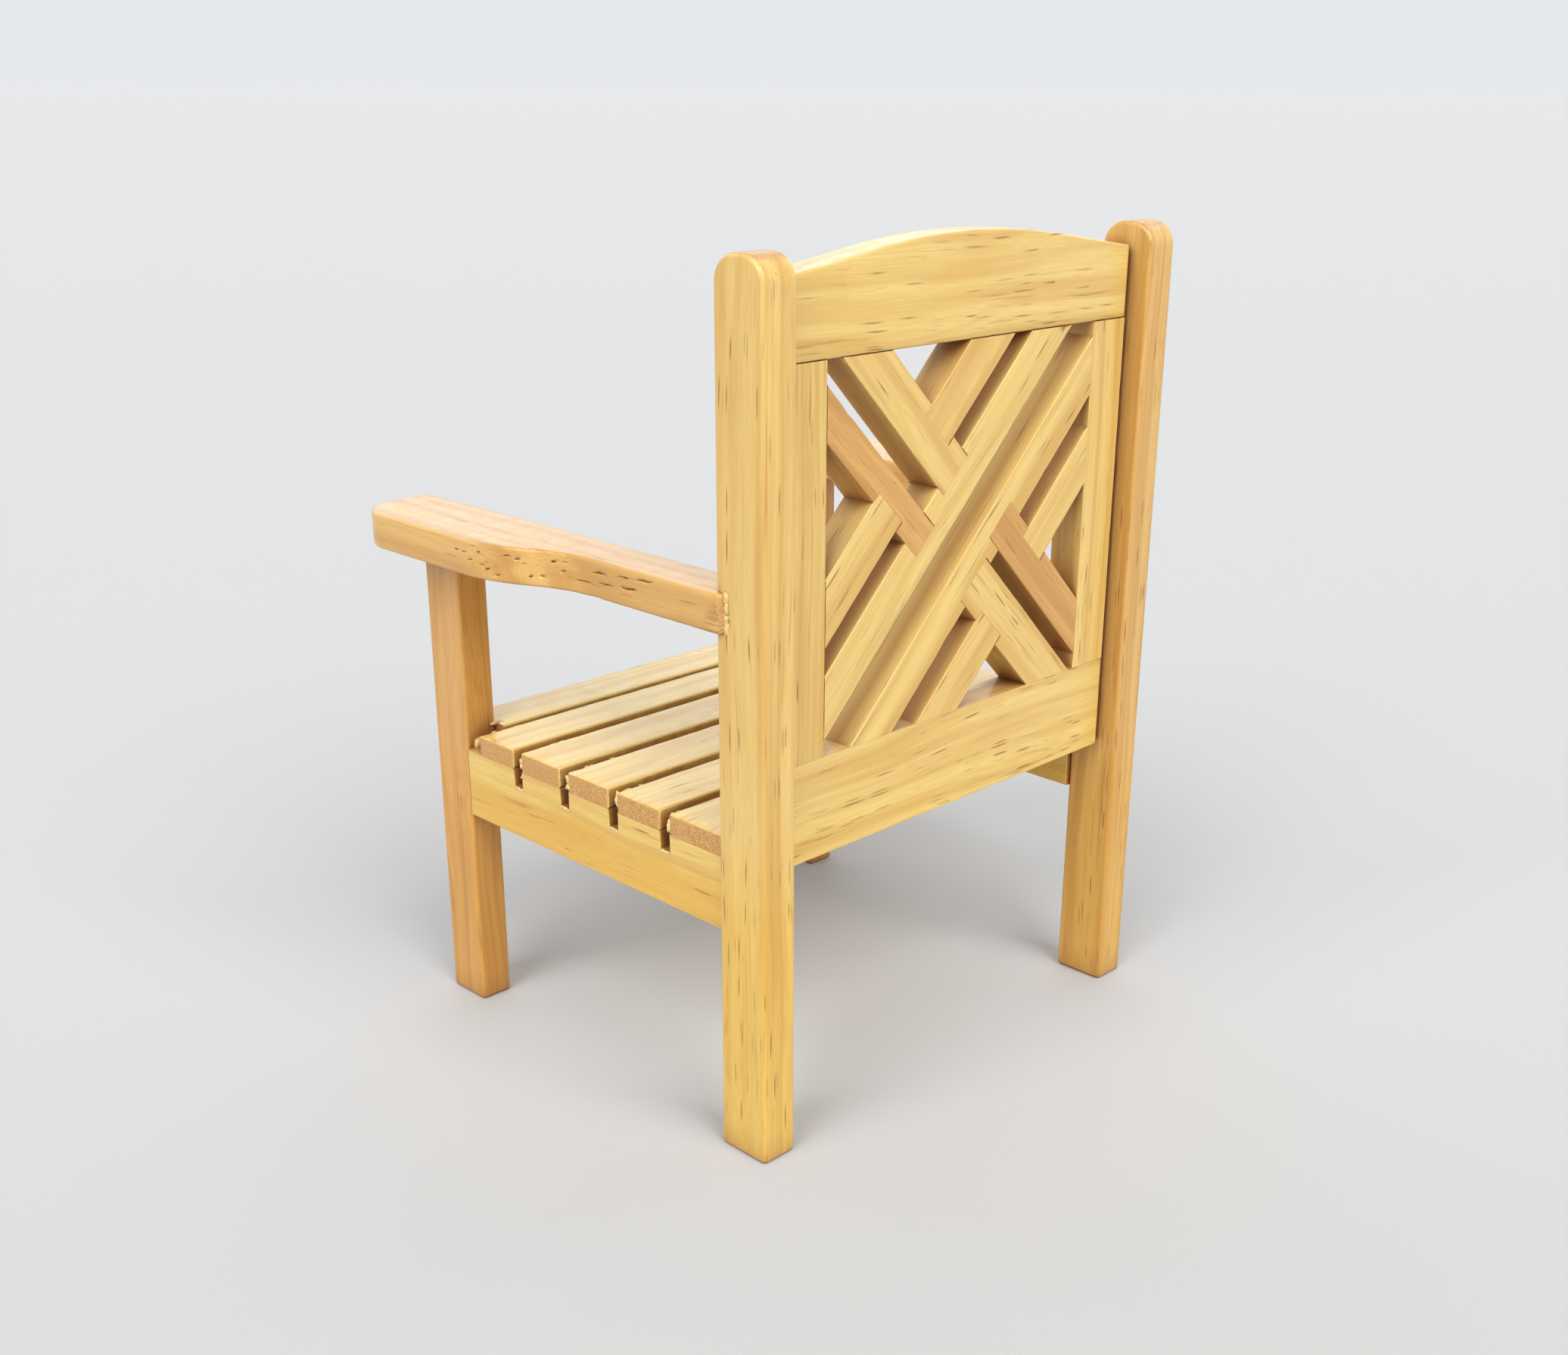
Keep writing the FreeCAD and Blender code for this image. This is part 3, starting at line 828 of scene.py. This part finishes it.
def floor():
    """A plain pale floor, wide enough to reach the horizon."""
    mesh = bpy.data.meshes.new("floor")
    half = FLOOR_HALF
    corners = [(-half, -half, 0), (half, -half, 0), (half, half, 0), (-half, half, 0)]
    mesh.from_pydata(corners, [], [(0, 1, 2, 3)])
    plane = bpy.data.objects.new("floor", mesh)
    bpy.context.scene.collection.objects.link(plane)
    material = bpy.data.materials.new("pale_floor")
    material.use_nodes = True
    finish = material.node_tree.nodes["Principled BSDF"].inputs
    finish["Base Color"].default_value = (FLOOR, FLOOR, FLOOR, 1)
    finish["Roughness"].default_value = 0.7
    finish["Specular IOR Level"].default_value = 0.2
    mesh.materials.append(material)


def sky():
    """A pale surround that is as bright as the floor at the horizon. Beyond the front of the
    chair stands a bright wall, which the tops of the seat and the arms reflect."""
    world = bpy.data.worlds.new("studio")
    world.use_nodes = True
    tree = world.node_tree
    direction = tree.nodes.new("ShaderNodeTexCoord").outputs["Generated"]
    parts = tree.nodes.new("ShaderNodeSeparateXYZ")
    tree.links.new(direction, parts.inputs[0])
    height = parts.outputs["Z"]
    sockets = {0: direction, 1: AHEAD}
    ahead = add(tree, "ShaderNodeVectorMath", sockets, output=1, operation="DOT_PRODUCT")
    wall = maths(tree, "MULTIPLY", ramp(tree, height, 0.08, 0.22), ramp(tree, height, 0.9, 0.5))
    wall = maths(tree, "MULTIPLY", wall, ramp(tree, ahead, 0.0, 0.6, 0.0, WALL))
    plain = ramp(tree, height, 0.08, 0.4, HORIZON, OVERHEAD)
    background = tree.nodes["Background"].inputs
    background["Color"].default_value = (*SKY, 1)
    tree.links.new(maths(tree, "ADD", plain, wall), background["Strength"])
    bpy.context.scene.world = world


def soft_sun(name, azimuth, elevation, strength, spread):
    """A broad lamp far off, in the direction given in degrees from +X towards +Y."""
    lamp = bpy.data.lights.new(name, "SUN")
    lamp.energy = strength
    lamp.angle = math.radians(spread)
    item = bpy.data.objects.new(name, lamp)
    a, e = math.radians(azimuth), math.radians(elevation)
    source = Vector((math.cos(a) * math.cos(e), math.sin(a) * math.cos(e), math.sin(e)))
    item.rotation_euler = source.to_track_quat("Z", "Y").to_euler()
    bpy.context.scene.collection.objects.link(item)


def light():
    sky()
    soft_sun("left_softbox", azimuth=8, elevation=42, strength=2.1, spread=40)
    soft_sun("right_softbox", azimuth=82, elevation=42, strength=2.35, spread=40)


def camera():
    """The view from behind and above the sitter's left shoulder."""
    level = math.cos(CAMERA_DOWN)
    forward = Vector(
        (
            -math.sin(CAMERA_AZIMUTH) * level,
            -math.cos(CAMERA_AZIMUTH) * level,
            -math.sin(CAMERA_DOWN),
        )
    )
    lens = bpy.data.cameras.new("camera")
    lens.lens = LENS
    lens.shift_x, lens.shift_y = LENS_SHIFT
    lens.clip_start = 0.01
    item = bpy.data.objects.new("camera", lens)
    turn = forward.to_track_quat("-Z", "Y").to_matrix() @ Matrix.Rotation(CAMERA_ROLL, 3, "Z")
    item.matrix_world = Matrix.Translation(CAMERA_PLACE) @ turn.to_4x4()
    bpy.context.scene.collection.objects.link(item)
    bpy.context.scene.camera = item


# ---------------------------------------------------------------- assembly

for number, node in enumerate(sorted(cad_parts)):
    timber(node, number)
leftovers()
floor()
light()
camera()
bpy.context.scene.view_settings.view_transform = "Standard"
